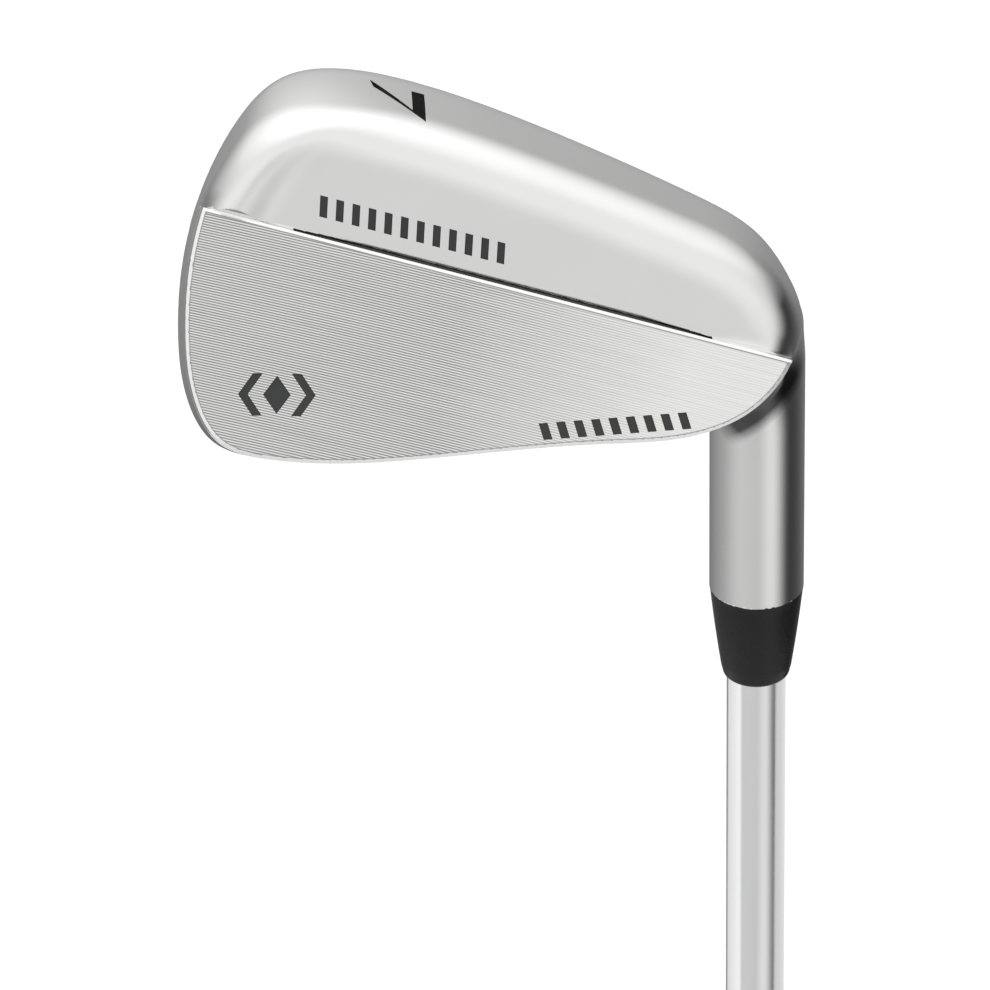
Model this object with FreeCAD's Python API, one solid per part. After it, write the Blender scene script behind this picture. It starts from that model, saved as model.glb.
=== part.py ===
"""Iron golf club: forged muscle-back head with hosel, ferrule, stepped steel
shaft, rubber grip with end cap, and the paint fills of the engraved marks.

Frame: origin at the centre of the grip cap's end face, +Z along the shaft
towards the head.  The back of the head looks towards -Y, the toe towards -X
and the striking face towards +Y.  Millimetres.

The head is drawn in its own face frame (u towards the toe, v up the face,
w out of the back, w = 0 on the striking face) and then set on the shaft at
the lie and loft angles.
"""
import FreeCAD
import Part
import math
import os

Vec = FreeCAD.Vector

# ---------------------------------------------------------------- dimensions
# Club
CLUB_LENGTH = 939.8        # 37 in, cap end to the ground point on the axis
LIE = math.radians(63.0)
LOFT = math.radians(33.0)
FACE_LEAD = 4.2            # shaft axis to the face frame's origin, forwards

# Head
BLADE_THICK = 5.8          # striking face to the milled plate
RIDGE_V = 20.98            # ridge line height at u = 0
RIDGE_RISE = 0.1531        # rise of the ridge line per mm towards the toe
FACET_W = 4.9              # facet depth at the ridge
FACET_TILT = 0.48          # facet rises this much per mm towards the sole
RIM_HEIGHT = 1.4           # muscle rim above the facet
RIM_ROUND = 3.5            # rounding of the rim into the sole and toe
FACE_EDGE = 1.1            # rounding round the striking face
PLATE_BEVEL = 0.5          # bright bevel round the milled plate
GROOVE_DEPTH = 0.9         # step groove along the ridge
MUSCLE_DEPTH = 19.0        # depth of the muscle blank before trimming

# Hosel and its bore
HOSEL_HEIGHT = 62.5        # ground point to the hosel's end, along the axis
HOSEL_R = 6.9
HOSEL_FOOT = 21.0          # ground point to the hosel's rounded foot
BORE_R = 4.50
BORE_DEPTH = 34.0
NECK_TOP = 36.0            # the neck blends out at this height on the axis
NECK_TUCK = 0.5            # the neck's round end ends this far inside the hosel
NECK_STATIONS = 6
NECK_POINTS = 24

# Scorelines
SCORE_PITCH = 3.6
SCORE_COUNT = 12
SCORE_WIDTH = 0.8
SCORE_DEPTH = 0.4
SCORE_FIRST_V = 7.9
SCORE_HEEL_U = 15.0
SCORE_TOE_U = 64.4

# Engraved marks
ENGRAVE = 0.45             # depth of the marks
FILL = 0.25                # thickness of the paint in them
NUMBER_DEPTH = 0.7
FACET_BARS = 12
FACET_BARS_U = 33.6        # heel end of the row on the facet
FACET_BAR_PITCH = 2.38
EMBLEM_CENTRE = (55.2, 52.7)
EMBLEM_SLOPE = 0.40
HEEL_BARS = 9
HEEL_BARS_START = (-0.7, 32.0)
HEEL_BAR_PITCH = 2.27      # along u
HEEL_BAR_SLOPE = 0.507

# Shaft
TIP_R = 4.32               # 0.340 in at the ferrule
BUTT_R = 7.62              # 0.600 in butt
WALL = 0.45
INSERT = 32.0              # length glued into the hosel
FIRST_STEP = 285.0         # tip to the first step
STEP_PITCH = 44.5
STEP_COUNT = 11
STEP_SLOPE = 1.2           # length of each step's short cone
BUTT_GAP = 4.0             # shaft's end above the cap's outer face

# Ferrule
FERRULE_LENGTH = 15.2
FERRULE_TIP_R = 4.95
FERRULE_ROUND = 0.5

# Grip
GRIP_LENGTH = 267.0
GRIP_STATIONS = [(0.0, 13.0), (12.0, 13.3), (51.0, 11.5), (110.0, 10.6),
                 (203.0, 9.5), (262.0, 8.9)]
MOUTH_ROUND = 1.0
CAP_R = 13.4
CAP_THICK = 4.0
CAP_ROUND = 1.8
VENT_R = 1.3
TAPE_THICK = 0.3
BAND_LENGTH = 90.0
BAND_START = 330.0
BAND_THICK = 0.06

# ---------------------------------------------------------------- face frame
TOE = Vec(-math.sin(LIE), 0, math.cos(LIE))
UP = Vec(-math.cos(LIE), 0, -math.sin(LIE))
BACK = Vec(0, -1, 0)
ACROSS = UP * math.cos(LOFT) + BACK * math.sin(LOFT)
OUT = BACK * math.cos(LOFT) - UP * math.sin(LOFT)
GROUND = Vec(0, 0, CLUB_LENGTH)
ORIGIN = GROUND - BACK * FACE_LEAD
TO_ROW = FreeCAD.Placement(FreeCAD.Matrix(
    TOE.x, ACROSS.x, OUT.x, ORIGIN.x,
    TOE.y, ACROSS.y, OUT.y, ORIGIN.y,
    TOE.z, ACROSS.z, OUT.z, ORIGIN.z,
    0, 0, 0, 1))
HOSEL_END = CLUB_LENGTH - HOSEL_HEIGHT


def to_face(point):
    """A row-frame point in the face frame."""
    rel = point - ORIGIN
    return Vec(rel.dot(TOE), rel.dot(ACROSS), rel.dot(OUT))


def face_direction(vector):
    """A row-frame direction in the face frame."""
    return Vec(vector.dot(TOE), vector.dot(ACROSS), vector.dot(OUT))


GRIPWARD = face_direction(Vec(0, 0, -1))
HEELWARD = face_direction(Vec(1, 0, 0))
BACKWARD = face_direction(BACK)


def hosel_point(height):
    """Point on the shaft axis this far from the ground point, face frame."""
    return to_face(GROUND - Vec(0, 0, height))


def curve_wire(points, w):
    """Closed smooth outline through (u, v) points at depth w."""
    spline = Part.BSplineCurve()
    spline.interpolate([Vec(u, v, w) for u, v in points], PeriodicFlag=True)
    return Part.Wire([spline.toShape()])


def polygon_face(points, w=0.0):
    """Flat face with straight sides through (u, v) points at depth w."""
    loop = [Vec(u, v, w) for u, v in points]
    return Part.Face(Part.makePolygon(loop + loop[:1]))


def ridge_v(u):
    return RIDGE_V + RIDGE_RISE * u


# ---------------------------------------------------------------- head blank
# Face outline, from the toe's widest point down round the sole to the heel
# and back along the topline.
OUTLINE = [(75.5, 29.4), (74.3, 17.7), (70.6, 10.4), (64.7, 6.7), (56.2, 4.4),
           (42.6, 2.9), (23.7, 2.4), (9.3, 2.6), (-0.9, 3.9), (-7.3, 7.5),
           (-11.3, 13.5), (-12.2, 20.0), (-9.5, 28.2), (-3.0, 34.7),
           (8.5, 40.7), (29.9, 51.7), (52.8, 61.5), (59.9, 62.1),
           (66.0, 57.7), (70.7, 49.8), (74.0, 40.4)]

# Lower outline of the recessed facet, from the toe end of the ridge along
# the sole to the heel end of the ridge.
FACET_EDGE = [(64.5, 31.0), (64.2, 25.8), (62.1, 20.0), (57.2, 15.9),
              (48.2, 12.9), (39.1, 11.7), (27.0, 11.2), (6.6, 10.9),
              (-1.8, 12.5), (-6.0, 16.3), (-7.6, 20.0)]


def ridge_block(side, spare=0.0, reach=60.0):
    """Block above (+1) or below (-1) the ridge line, with some to spare."""
    edge = -side * spare
    near = [(-40, ridge_v(-40) + edge), (110, ridge_v(110) + edge)]
    far = [(110, ridge_v(110) + side * reach), (-40, ridge_v(-40) + side * reach)]
    return polygon_face(near + far, -30).extrude(Vec(0, 0, 70))


def above_facet_plane(height):
    """Everything further out than the plane this far above the facet."""
    across = Vec(1, RIDGE_RISE, 0)
    down = Vec(0, -1, FACET_TILT)
    normal = across.cross(down)
    normal = normal * (-1 if normal.z < 0 else 1)
    normal.normalize()
    foot = Vec(0, RIDGE_V, FACET_W) + normal * height
    plane = Part.makePlane(400, 400, foot, normal)
    centre = plane.CenterOfMass
    plane.translate(foot - centre)
    return plane.extrude(normal * 60), normal


def round_edges(shape, radius, wanted):
    """Fillet the edges picked by wanted(edge)."""
    edges = [edge for edge in shape.Edges if wanted(edge)]
    return shape.makeFillet(radius, edges)


def blade():
    """Upper plate: the face outline straight through, above the ridge."""
    face = Part.Face(curve_wire(OUTLINE, 0.0))
    slab = face.extrude(Vec(0, 0, BLADE_THICK))
    slab = round_edges(slab, FACE_EDGE, lambda e: e.BoundBox.ZMax < 0.01)
    top = [e for e in slab.Edges if e.BoundBox.ZMin > BLADE_THICK - 0.01]
    slab = slab.makeChamfer(PLATE_BEVEL, top)
    return slab.common(ridge_block(+1))


def muscle():
    """Lower part: the outline swept back parallel to the ground, trimmed by
    the rim's plane and rounded into the sole."""
    face = Part.Face(curve_wire(OUTLINE, 0.0))
    sweep = BACKWARD * (MUSCLE_DEPTH / BACKWARD.z)
    blank = face.extrude(sweep)
    blank = round_edges(blank, FACE_EDGE, lambda e: e.BoundBox.ZMax < 0.01)
    outside, _ = above_facet_plane(RIM_HEIGHT)
    blank = blank.common(ridge_block(-1, 3.0)).cut(outside)
    top = max(blank.Faces, key=lambda f: f.CenterOfMass.z)
    rim = [e for e in top.Edges if e.BoundBox.YMin < 20]
    blank = blank.makeFillet(RIM_ROUND, rim)
    return blank.common(ridge_block(-1))


def facet_pocket():
    """Recess above the facet, open towards the ridge."""
    outside, normal = above_facet_plane(0.0)
    edge = Part.BSplineCurve()
    edge.interpolate([Vec(u, v, -5.0) for u, v in FACET_EDGE])
    start = Vec(FACET_EDGE[0][0], FACET_EDGE[0][1], -5.0)
    end = Vec(FACET_EDGE[-1][0], FACET_EDGE[-1][1], -5.0)
    top_right = Vec(end.x, end.y + 25, -5.0)
    top_left = Vec(start.x, start.y + 25, -5.0)
    wire = Part.Wire([edge.toShape(), Part.makeLine(end, top_right),
                      Part.makeLine(top_right, top_left), Part.makeLine(top_left, start)])
    prism = Part.Face(wire).extrude(Vec(0, 0, 45))
    return prism.common(outside)


def section(centre, long_axis, short_axis, half_long, half_short, squareness):
    """Points round a closed section, from an ellipse (2) to a rectangle."""
    long_axis.normalize()
    short_axis = short_axis - long_axis * short_axis.dot(long_axis)
    short_axis.normalize()
    points = []
    for i in range(NECK_POINTS + 1):
        angle = 2 * math.pi * i / NECK_POINTS
        c = math.cos(angle)
        s = math.sin(angle)
        x = half_long * math.copysign(abs(c) ** (2 / squareness), c)
        y = half_short * math.copysign(abs(s) ** (2 / squareness), s)
        points.append(centre + long_axis * x + short_axis * y)
    points[-1] = points[0]
    return points


def skin_solid(sections):
    """Solid through a row of closed sections, with flat ends."""
    surface = Part.BSplineSurface()
    surface.interpolate(sections)
    side = surface.toShape()
    ends = []
    for points in (sections[0], sections[-1]):
        rim = min(side.Edges, key=lambda e: (e.CenterOfMass - mean(points)).Length)
        ends.append(Part.Face(Part.Wire([rim])))
    shell = Part.makeShell([side] + ends)
    shell.sewShape()
    solid = Part.makeSolid(shell)
    return solid if solid.Volume > 0 else solid.reversed()


def mean(points):
    total = Vec(0, 0, 0)
    for point in points[:-1]:
        total = total + point
    return total * (1.0 / (len(points) - 1))


def blend(a, b, share):
    return a * (1 - share) + b * share


def bezier(corners, s):
    """Point at share s of the cubic curve steered by four corners."""
    a, b, c, d = corners
    return (a * (1 - s) ** 3 + b * (3 * s * (1 - s) ** 2)
            + c * (3 * s * s * (1 - s)) + d * s ** 3)


def neck():
    """Blend from the flat heel of the blade into the round hosel.  One edge
    follows the heel, the other the throat above the topline."""
    reach = HEELWARD * (HOSEL_R - NECK_TUCK)
    heel = [Vec(7.6, 5.7, 2.9), Vec(-4.3, 5.9, 1.8), hosel_point(13) + reach,
            hosel_point(NECK_TOP - 3) + reach]
    throat = [Vec(7.6, 36.2, 2.9), Vec(-1.4, 32.4, 1.8), hosel_point(30) - reach,
              hosel_point(NECK_TOP + 3) - reach]
    sections = []
    for i in range(NECK_STATIONS + 1):
        s = i / NECK_STATIONS
        turn = s * s * (3 - 2 * s)
        low = bezier(heel, s)
        high = bezier(throat, s)
        sections.append(section(
            (low + high) * 0.5,
            low - high,
            blend(Vec(0, 0, 1), BACKWARD, turn),
            (low - high).Length / 2,
            blend(2.4, HOSEL_R - NECK_TUCK, turn),
            blend(5.0, 2.0, turn)))
    return skin_solid(sections)


def hosel():
    """Round hosel with a rounded foot inside the heel."""
    foot = hosel_point(HOSEL_FOOT)
    tube = Part.makeCylinder(HOSEL_R, HOSEL_HEIGHT - HOSEL_FOOT, foot, GRIPWARD)
    return tube.fuse(Part.makeSphere(HOSEL_R, foot))


def ridge_groove():
    """Shallow step groove along the ridge, between plate and facet."""
    along = Vec(1, RIDGE_RISE, 0)
    along.normalize()
    start = Vec(-20, ridge_v(-20), FACET_W - 0.1)
    side = Vec(-along.y, along.x, 0)
    profile = [start + side * 0.05, start - side * 1.0,
               start - side * 1.0 + Vec(0, 0, 6), start + side * 0.05 + Vec(0, 0, 6)]
    return Part.Face(Part.makePolygon(profile + profile[:1])).extrude(along * 110)


def topline_u(v):
    """Heel-side end of the face at height v, along the topline."""
    return -3.0 + (v - 34.7) * 2.03


def scorelines():
    """Parallel grooves across the striking face."""
    grooves = []
    for i in range(SCORE_COUNT):
        v = SCORE_FIRST_V + i * SCORE_PITCH
        heel = max(SCORE_HEEL_U, topline_u(v) + 7.0)
        corner = Vec(heel, v - SCORE_WIDTH / 2, -1.0)
        grooves.append(Part.makeBox(SCORE_TOE_U - heel, SCORE_WIDTH, SCORE_DEPTH + 1.0, corner))
    return grooves


def bore():
    end = hosel_point(HOSEL_HEIGHT)
    return Part.makeCylinder(BORE_R, BORE_DEPTH + 1.0, end + GRIPWARD * 1.0, GRIPWARD * -1)


# ---------------------------------------------------------------- marks
def set_out(shape, origin, slope):
    """A small outline moved to origin, its x axis turned to the slope."""
    run = Vec(1, slope, 0)
    run.normalize()
    rise = Vec(-run.y, run.x, 0)
    corner = Vec(origin[0], origin[1], 0)
    points = [corner + run * x + rise * y for x, y in shape]
    return [(p.x, p.y) for p in points]


def slanted_bar(width, height, lean):
    return [(0, 0), (width, 0), (width - lean, height), (-lean, height)]


def number_outline():
    """A plain seven on the sole as (u, distance back) points."""
    return [(59.5, 5.3), (59.1, 6.6), (50.9, 11.6), (51.6, 4.9), (53.4, 5.1), (53.0, 10.0)]


def facet_outlines():
    """Row of slanted bars along the recessed facet, below the ridge."""
    bars = []
    for i in range(FACET_BARS):
        u = FACET_BARS_U + i * FACET_BAR_PITCH
        origin = (u, ridge_v(u) - 5.8)
        bars.append(set_out(slanted_bar(1.15, 2.9, 0.9), origin, RIDGE_RISE))
    return bars


def emblem_outlines():
    """A diamond between two chevrons near the toe."""
    diamond = [(-2.0, 0), (0, -2.7), (2.0, 0), (0, 2.7)]
    right = [(5.6, 0), (3.5, 3.0), (2.1, 3.0), (4.2, 0), (2.1, -3.0), (3.5, -3.0)]
    left = [(-x, -y) for x, y in right]
    return [set_out(shape, EMBLEM_CENTRE, EMBLEM_SLOPE) for shape in (diamond, right, left)]


def bar_outlines():
    """Row of short slanted bars along the topline near the heel."""
    bars = []
    for i in range(HEEL_BARS):
        u = HEEL_BARS_START[0] + i * HEEL_BAR_PITCH
        v = HEEL_BARS_START[1] + i * HEEL_BAR_PITCH * HEEL_BAR_SLOPE
        bars.append(set_out(slanted_bar(1.3, 2.4, 0.6), (u, v), HEEL_BAR_SLOPE))
    return bars


def extrude_marks(outlines, low, high):
    """Prisms along the face normal between two depths."""
    return [polygon_face(loop, low).extrude(Vec(0, 0, high - low)) for loop in outlines]


def plate_mark(outlines):
    """Recess and paint of a mark on the flat milled plate."""
    floor = BLADE_THICK - ENGRAVE
    recess = extrude_marks(outlines, floor, BLADE_THICK + 1)
    paint = extrude_marks(outlines, floor, floor + FILL)
    return recess, paint


def facet_mark(outlines):
    """Recess and paint of the mark on the sloping facet."""
    deep, _ = above_facet_plane(-ENGRAVE)
    paint_top, _ = above_facet_plane(-ENGRAVE + FILL)
    recess = [prism.common(deep) for prism in extrude_marks(outlines, 0.5, 30)]
    paint = [cutter.cut(paint_top) for cutter in recess]
    return recess, paint


def sole_mark(outline, body):
    """Recess and paint of a mark sunk evenly into the rounded sole."""
    upwards = face_direction(UP)
    loop = [Vec(u, 0, 0) + BACKWARD * back - upwards * 10 for u, back in outline]
    prism = Part.Face(Part.makePolygon(loop + loop[:1])).extrude(upwards * 25)
    plug = prism.common(body)
    below = plug.copy()
    below.translate(upwards * NUMBER_DEPTH)
    floor = plug.copy()
    floor.translate(upwards * (NUMBER_DEPTH - FILL))
    recess = plug.cut(below)
    return [recess], [recess.common(floor)]


# ---------------------------------------------------------------- revolved
def revolve(profile):
    """Solid of revolution about Z from (radius, z) points."""
    loop = [Vec(r, 0, z) for r, z in profile]
    face = Part.Face(Part.makePolygon(loop + loop[:1]))
    return face.revolve(Vec(0, 0, 0), Vec(0, 0, 1), 360)


def shaft_profile():
    """Outside of the stepped shaft as (radius, z), butt first."""
    tip_z = HOSEL_END + INSERT
    radius_step = (BUTT_R - TIP_R) / STEP_COUNT
    points = [(TIP_R, tip_z)]
    radius = TIP_R
    for i in range(STEP_COUNT):
        z = tip_z - FIRST_STEP - i * STEP_PITCH
        points.append((radius, z))
        radius += radius_step
        points.append((radius, z - STEP_SLOPE))
    points.append((radius, BUTT_GAP))
    return points[::-1]


def shaft():
    outside = shaft_profile()
    inside = [(r - WALL, z) for r, z in outside]
    return revolve(outside + inside[::-1])


def shaft_radius(z):
    """Outer radius of the shaft at height z."""
    points = shaft_profile()
    for (r0, z0), (r1, z1) in zip(points, points[1:]):
        if z0 <= z <= z1:
            return r0 + (r1 - r0) * (z - z0) / (z1 - z0)
    return TIP_R


def sleeve(start, end, thickness, gap=0.0):
    """Even layer on the shaft between two heights, following its steps."""
    inner = [(shaft_radius(start) + gap, start)]
    inner += [(r + gap, z) for r, z in shaft_profile() if start < z < end]
    inner.append((shaft_radius(end) + gap, end))
    outer = [(r + thickness, z) for r, z in inner]
    return revolve(outer + inner[::-1])


def ferrule():
    body = revolve([(TIP_R, HOSEL_END), (HOSEL_R - 0.05, HOSEL_END),
                    (FERRULE_TIP_R, HOSEL_END - FERRULE_LENGTH),
                    (TIP_R, HOSEL_END - FERRULE_LENGTH)])
    low = HOSEL_END - FERRULE_LENGTH
    rim = [e for e in body.Edges
           if abs(e.BoundBox.ZMax - low) < 0.01 and e.BoundBox.XLength > 2 * TIP_R + 0.1]
    return body.makeFillet(FERRULE_ROUND, rim)


def grip_sleeve():
    """Tapered grip with a soft mouth, hollow to fit over the tape."""
    z0 = CAP_THICK
    outside = [(r, max(z, z0)) for z, r in GRIP_STATIONS]
    mouth_r = GRIP_STATIONS[-1][1]
    outside += [(mouth_r - MOUTH_ROUND, GRIP_LENGTH)]
    inside = [(shaft_radius(GRIP_LENGTH) + TAPE_THICK, GRIP_LENGTH)]
    inside += [(r + TAPE_THICK, z) for r, z in shaft_profile()[::-1] if z0 < z < GRIP_LENGTH]
    inside.append((shaft_radius(BUTT_GAP + 0.1) + TAPE_THICK, z0))
    return revolve(outside + inside)


def grip_cap():
    """Domed-edge cap with the vent hole."""
    disc = Part.makeCylinder(CAP_R, CAP_THICK)
    rim = [e for e in disc.Edges if e.BoundBox.ZMax < 0.01]
    disc = disc.makeFillet(CAP_ROUND, rim)
    return disc.cut(Part.makeCylinder(VENT_R, CAP_THICK + 2, Vec(0, 0, -1)))


# ---------------------------------------------------------------- assembly
def build_head():
    """Head in the face frame with its recesses, and the paint fills."""
    body = muscle()
    body = body.cut(facet_pocket())
    body = body.cut(ridge_groove())
    number, number_paint = sole_mark(number_outline(), body)
    body = body.fuse([blade(), neck(), hosel()])
    emblem, emblem_paint = plate_mark(emblem_outlines())
    bars, bar_paint = plate_mark(bar_outlines())
    facet, facet_paint = facet_mark(facet_outlines())
    for cutter in [bore()] + number + emblem + bars + facet + scorelines():
        body = body.cut(cutter)
    paints = {"number_paint": number_paint, "facet_paint": facet_paint,
              "emblem_paint": emblem_paint, "bar_paint": bar_paint}
    return body, paints


def place(shape):
    """Copy of a face-frame shape set on the club."""
    moved = shape.copy()
    moved.Placement = TO_ROW.multiply(moved.Placement)
    return moved


def main():
    head, paints = build_head()
    nodes = {name: place(Part.makeCompound(fills)) for name, fills in paints.items()}
    nodes["head"] = place(head)
    nodes["ferrule"] = ferrule()
    nodes["shaft"] = shaft()
    nodes["tip_weight"] = Part.makeCylinder(TIP_R - WALL, 25, Vec(0, 0, HOSEL_END + INSERT - 25))
    nodes["hosel_epoxy"] = sleeve(HOSEL_END + 0.2, HOSEL_END + INSERT, BORE_R - TIP_R)
    nodes["shaft_band"] = sleeve(BAND_START, BAND_START + BAND_LENGTH, BAND_THICK)
    nodes["grip_tape"] = sleeve(CAP_THICK + 1, GRIP_LENGTH - 3, TAPE_THICK)
    nodes["grip_sleeve"] = grip_sleeve()
    nodes["grip_cap"] = grip_cap()
    os.makedirs("parts", exist_ok=True)
    for name, shape in nodes.items():
        shape.exportStep("parts/" + name + ".step")
        print(name, shape.ShapeType, len(shape.Solids), shape.isValid(),
              round(shape.Volume, 1), shape.BoundBox)


main()
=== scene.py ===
"""Iron golf club: satin forged head with a milled plate, black ferrule,
stepped chrome shaft and moulded rubber grip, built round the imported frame.

The head is drawn as one implicit surface in its face frame (u towards the
toe, v up the face, w out of the back, millimetres) and contoured to a mesh.
"""
import math
import bmesh
import bpy
import numpy as np
from mathutils import Matrix, Vector


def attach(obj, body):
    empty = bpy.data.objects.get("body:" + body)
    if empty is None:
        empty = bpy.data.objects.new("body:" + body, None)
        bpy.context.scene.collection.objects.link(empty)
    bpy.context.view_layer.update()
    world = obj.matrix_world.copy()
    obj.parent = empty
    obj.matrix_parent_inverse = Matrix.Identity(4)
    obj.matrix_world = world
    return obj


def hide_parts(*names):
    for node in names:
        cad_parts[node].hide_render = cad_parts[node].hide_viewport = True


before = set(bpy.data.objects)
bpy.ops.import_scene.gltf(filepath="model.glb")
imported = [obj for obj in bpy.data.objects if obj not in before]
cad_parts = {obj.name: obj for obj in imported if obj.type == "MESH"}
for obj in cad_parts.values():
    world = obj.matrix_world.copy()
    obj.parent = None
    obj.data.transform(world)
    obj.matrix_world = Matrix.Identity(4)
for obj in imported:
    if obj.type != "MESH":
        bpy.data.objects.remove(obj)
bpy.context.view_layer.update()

MM = 0.001

# ------------------------------------------------------------------ dimensions
CLUB_LENGTH = 939.8
LIE = math.radians(63.0)
LOFT = math.radians(33.0)
FACE_LEAD = 4.2

BLADE_THICK = 5.8
RIDGE_V = 20.98
RIDGE_RISE = 0.1531
FACET_W = 4.9
FACET_TILT = 0.48
RIM_SLOPE = 0.17
TOE_RISE = 1.55
PLATE_BEVEL = 0.45
RIDGE_BEVEL = 0.5
BEVEL_ANGLE = math.radians(22.0)
GROOVE_FLOOR = 4.25
GROOVE_WIDTH = 0.52
GROOVE_MIDDLE = 31.0
GROOVE_FADE = (18.0, 37.0)
CORE_BACK = 4.6
TOPLINE_ROUND = 1.0
LEAD_ROUND = 2.0
TRAIL_ROUND = 5.2
CAMBER = 0.7

HOSEL_R = 6.9
HOSEL_HEIGHT = 62.5
HOSEL_FOOT = 17.5
FOOT_TAPER = 0.6
NECK_BLEND = 8.0
BORE_R = 4.5
BORE_DEPTH = 34.0

OUTLINE = [(75.5, 29.4), (74.3, 17.7), (70.6, 10.4), (64.7, 6.7), (56.2, 4.4),
           (42.6, 2.9), (23.7, 2.4), (9.3, 2.6), (-0.9, 3.9), (-7.3, 7.5),
           (-11.3, 13.5), (-12.2, 20.0), (-9.5, 28.2), (-3.0, 34.7),
           (8.5, 40.7), (29.9, 51.7), (52.8, 61.5), (59.9, 62.1),
           (66.0, 57.7), (70.7, 49.8), (74.0, 40.4)]
FACET_EDGE = [(64.5, 31.0), (64.2, 25.8), (62.1, 20.0), (57.2, 15.9),
              (48.2, 12.9), (39.1, 11.7), (27.0, 11.2), (6.6, 10.9),
              (-1.8, 12.5), (-6.0, 16.3), (-7.6, 20.0)]

# ------------------------------------------------------------------ face frame
TOE = np.array([-math.sin(LIE), 0.0, math.cos(LIE)])
UP = np.array([-math.cos(LIE), 0.0, -math.sin(LIE)])
BACK = np.array([0.0, -1.0, 0.0])
ACROSS = UP * math.cos(LOFT) + BACK * math.sin(LOFT)
OUT = BACK * math.cos(LOFT) - UP * math.sin(LOFT)
FACE_AXES = np.array([TOE, ACROSS, OUT])
ORIGIN = np.array([0.0, FACE_LEAD, CLUB_LENGTH])


def to_row(points):
    """Face-frame points (mm) as metres in the row frame."""
    return (ORIGIN + np.asarray(points, float) @ FACE_AXES) * MM


def turn_to_row(vectors):
    return np.asarray(vectors, float) @ FACE_AXES


def turn_to_face(vector):
    return FACE_AXES @ np.asarray(vector, float)


GRIPWARD = turn_to_face([0, 0, -1])
BACKWARD = turn_to_face(BACK)
UPWARD = turn_to_face(UP)
AXIS_FOOT = turn_to_face(np.array([0, 0, CLUB_LENGTH]) - ORIGIN)
SWEEP = BACKWARD[1] / BACKWARD[2]

# ---------------------------------------------------------------- smooth fields


def spline(points, closed, density=12):
    """Cubic spline through points, as a dense row of points."""
    pts = np.asarray(points, float)
    if closed:
        pts = np.vstack([pts, pts[:1]])
    steps = np.linalg.norm(np.diff(pts, axis=0), axis=1)
    n = len(pts)
    system = np.zeros((n, n))
    right = np.zeros((n, 2))
    slope = np.diff(pts, axis=0) / steps[:, None]
    for i in range(1, n - 1):
        system[i, i - 1:i + 2] = steps[i - 1], 2 * (steps[i - 1] + steps[i]), steps[i]
        right[i] = 6 * (slope[i] - slope[i - 1])
    if closed:
        system[0, 0], system[0, -1] = 1, -1
        system[-1, 0], system[-1, 1] = 2 * steps[0], steps[0]
        system[-1, -1], system[-1, -2] = 2 * steps[-1], steps[-1]
        right[-1] = 6 * (slope[0] - slope[-1])
    else:
        system[0, 0] = system[-1, -1] = 1
    bend = np.linalg.solve(system, right)
    out = []
    for i, h in enumerate(steps):
        x = np.arange(0, h, 1.0 / density)[:, None]
        y = h - x
        out.append(bend[i] * y ** 3 / (6 * h) + bend[i + 1] * x ** 3 / (6 * h)
                   + (pts[i] / h - bend[i] * h / 6) * y
                   + (pts[i + 1] / h - bend[i + 1] * h / 6) * x)
    out = np.vstack(out)
    return out if closed else np.vstack([out, pts[-1:]])


class Field:
    """Smooth lookup of values on a regular grid, by cubic B-splines."""

    def __init__(self, values, low, step):
        self.values = values
        self.low = low
        self.step = step

    @staticmethod
    def weights(f):
        g = 1 - f
        return (g ** 3 / 6, (3 * f ** 3 - 6 * f ** 2 + 4) / 6,
                (3 * g ** 3 - 6 * g ** 2 + 4) / 6, f ** 3 / 6)

    def __call__(self, u, v):
        nu, nv = self.values.shape
        x = np.clip((u - self.low[0]) / self.step, 1, nu - 2.001)
        y = np.clip((v - self.low[1]) / self.step, 1, nv - 2.001)
        i = np.minimum(x.astype(int), nu - 3)
        j = np.minimum(y.astype(int), nv - 3)
        wy = self.weights(y - j)
        flat = self.values.ravel()
        base = (i - 1) * nv + j - 1
        total = 0.0
        for a, wa in enumerate(self.weights(x - i)):
            row = base + a * nv
            total = total + wa * (wy[0] * flat[row] + wy[1] * flat[row + 1]
                                  + wy[2] * flat[row + 2] + wy[3] * flat[row + 3])
        return total


TABLE_LOW = (-36.0, -14.0)
TABLE_STEP = 0.5
TABLE_SHAPE = (250, 170)


def distance_table(loop):
    """Signed distance to a closed loop of points, negative inside."""
    gu = TABLE_LOW[0] + TABLE_STEP * np.arange(TABLE_SHAPE[0])
    gv = TABLE_LOW[1] + TABLE_STEP * np.arange(TABLE_SHAPE[1])
    grid = np.stack(np.meshgrid(gu, gv, indexing="ij"), -1).reshape(-1, 2)
    nearest = np.empty(len(grid), int)
    norm = (loop ** 2).sum(1)
    for start in range(0, len(grid), 4000):
        part = grid[start:start + 4000]
        d2 = norm[None, :] - 2 * part @ loop.T
        nearest[start:start + 4000] = d2.argmin(1)
    n = len(loop)
    best = np.full(len(grid), 1e9)
    for back in (1, 0):
        a = loop[(nearest - back) % n]
        b = loop[(nearest - back + 1) % n]
        run = b - a
        share = np.clip(((grid - a) * run).sum(1) / (run ** 2).sum(1), 0, 1)
        best = np.minimum(best, np.linalg.norm(grid - a - run * share[:, None], axis=1))
    inside = np.zeros(len(grid), bool)
    for a, b in zip(loop, np.roll(loop, -1, axis=0)):
        if a[1] == b[1]:
            continue
        crosses = (a[1] > grid[:, 1]) != (b[1] > grid[:, 1])
        at = a[0] + (grid[:, 1] - a[1]) * (b[0] - a[0]) / (b[1] - a[1])
        inside ^= crosses & (grid[:, 0] < at)
    return np.where(inside, -best, best).reshape(TABLE_SHAPE)


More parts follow.
